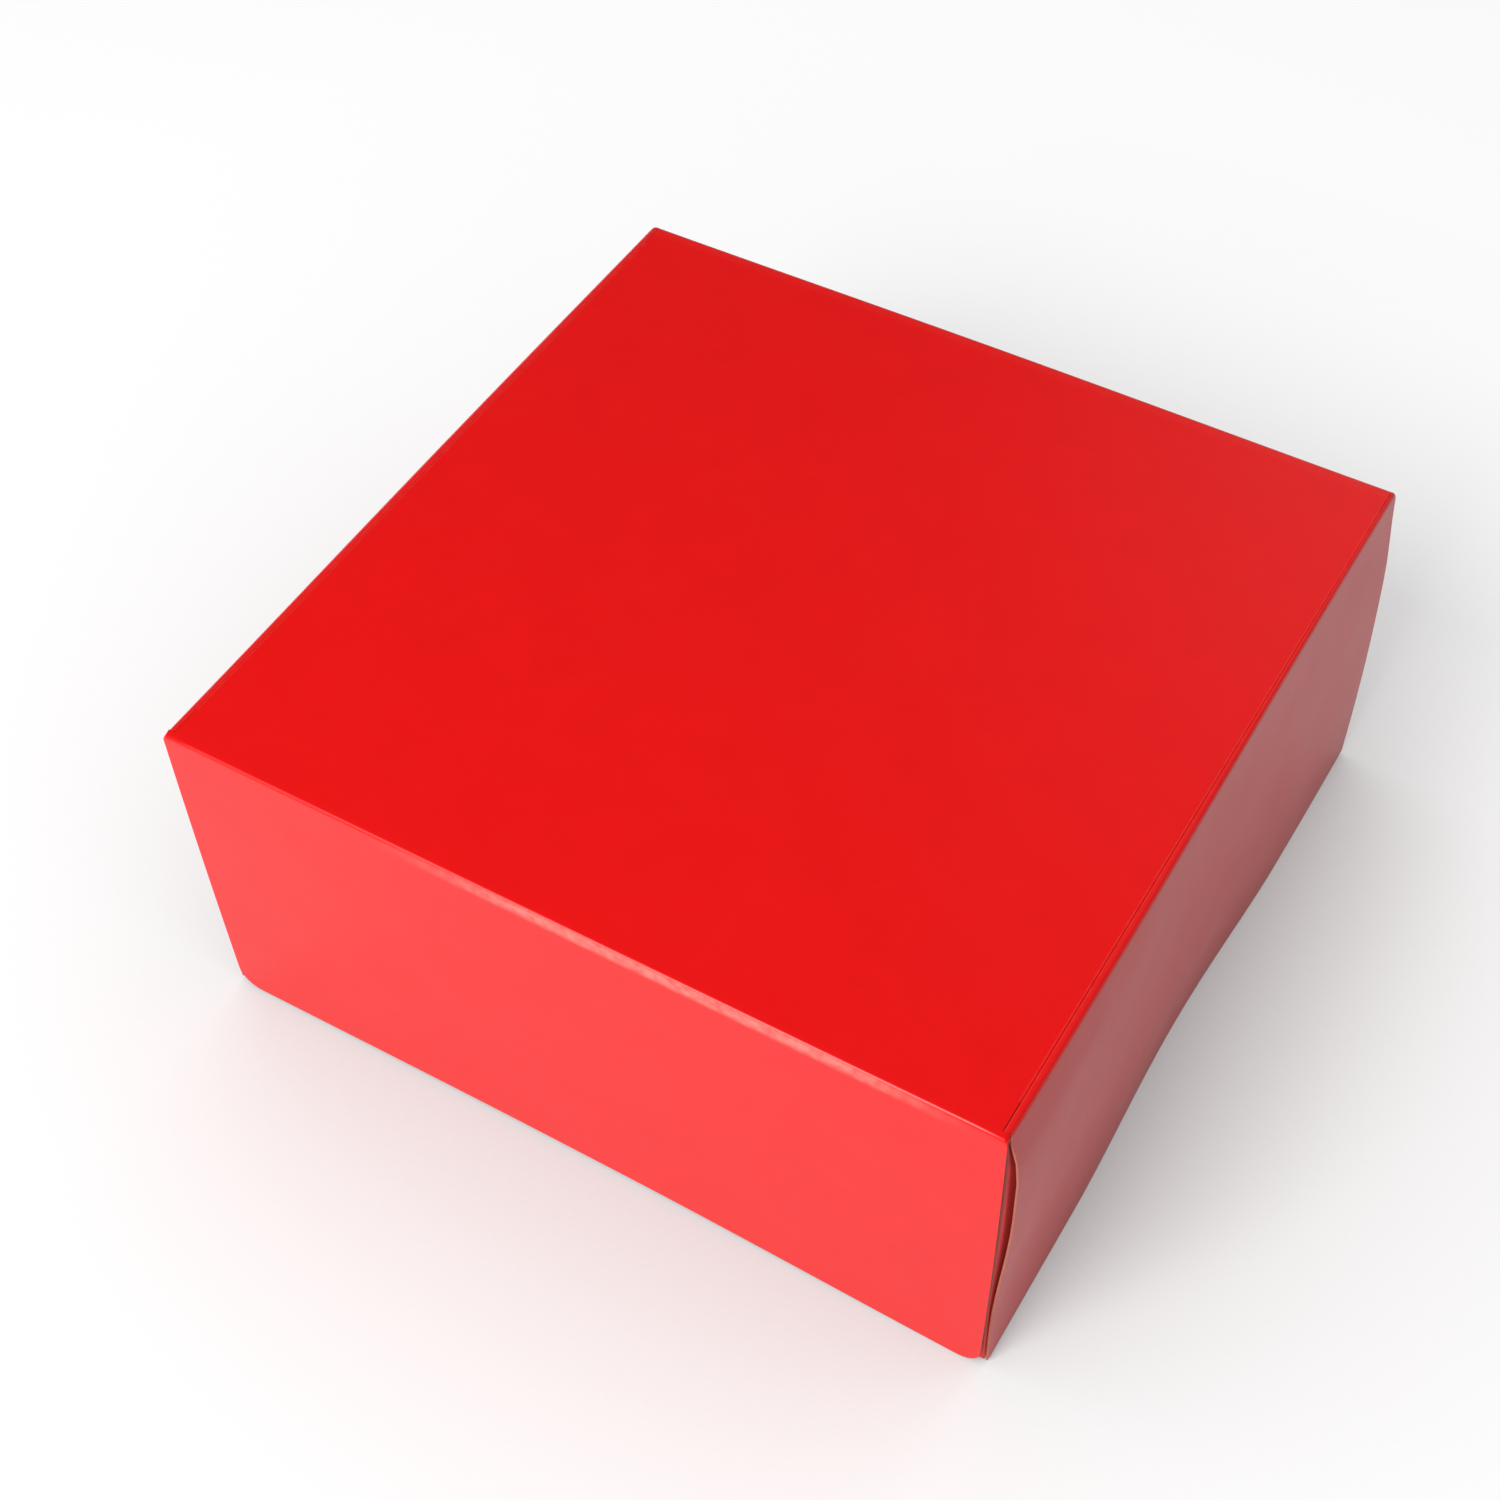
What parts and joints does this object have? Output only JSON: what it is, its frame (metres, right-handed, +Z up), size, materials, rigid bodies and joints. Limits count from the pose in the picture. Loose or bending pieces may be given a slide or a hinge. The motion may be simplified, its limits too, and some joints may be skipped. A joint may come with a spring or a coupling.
{
  "type": "cake box",
  "caption": "Square cake box folded from red-laminated board: double side walls with rolled rims, and a hinged lid whose front flap hangs outside the front wall.",
  "frame": {"origin": "on the table, under the middle of the shut box", "axes": "+Z up, -Y towards the front flap, +X to the right of someone facing the front"},
  "size_m": [0.2634, 0.2572, 0.12],
  "materials": {
    "red_board": "gloss film on the outside, uncoated white inside"
  },
  "bodies": {
    "tray": {"base_panel": "red_board", "front_wall": "red_board", "back_wall": "red_board", "front_left_ear": "red_board", "front_right_ear": "red_board", "back_left_ear": "red_board", "back_right_ear": "red_board", "left_outer_wall": "red_board", "right_outer_wall": "red_board", "left_rim": "red_board", "right_rim": "red_board", "left_inner_wall": "red_board", "right_inner_wall": "red_board"},
    "lid": {"lid_panel": "red_board"},
    "front_flap": {"front_flap": "red_board"},
    "left_dust_flap": {"left_dust_flap": "red_board"},
    "right_dust_flap": {"right_dust_flap": "red_board"}
  },
  "joints": [
    {"name": "lid_hinge", "type": "hinge", "parent": "tray", "child": "lid", "pos_m": [0, 0.12865, 0.11895], "axis": [-1, 0, 0], "range_deg": [0, 175]},
    {"name": "front_flap_fold", "type": "hinge", "parent": "lid", "child": "front_flap", "pos_m": [0, -0.12835, 0.11865], "axis": [-1, 0, 0], "range_deg": [0, 90]},
    {"name": "left_dust_flap_fold", "type": "hinge", "parent": "lid", "child": "left_dust_flap", "pos_m": [-0.12845, 0.00055, 0.11865], "axis": [0, -1, 0], "range_deg": [0, 90]},
    {"name": "right_dust_flap_fold", "type": "hinge", "parent": "lid", "child": "right_dust_flap", "pos_m": [0.12845, 0.00055, 0.11865], "axis": [0, 1, 0], "range_deg": [0, 90]}
  ]
}
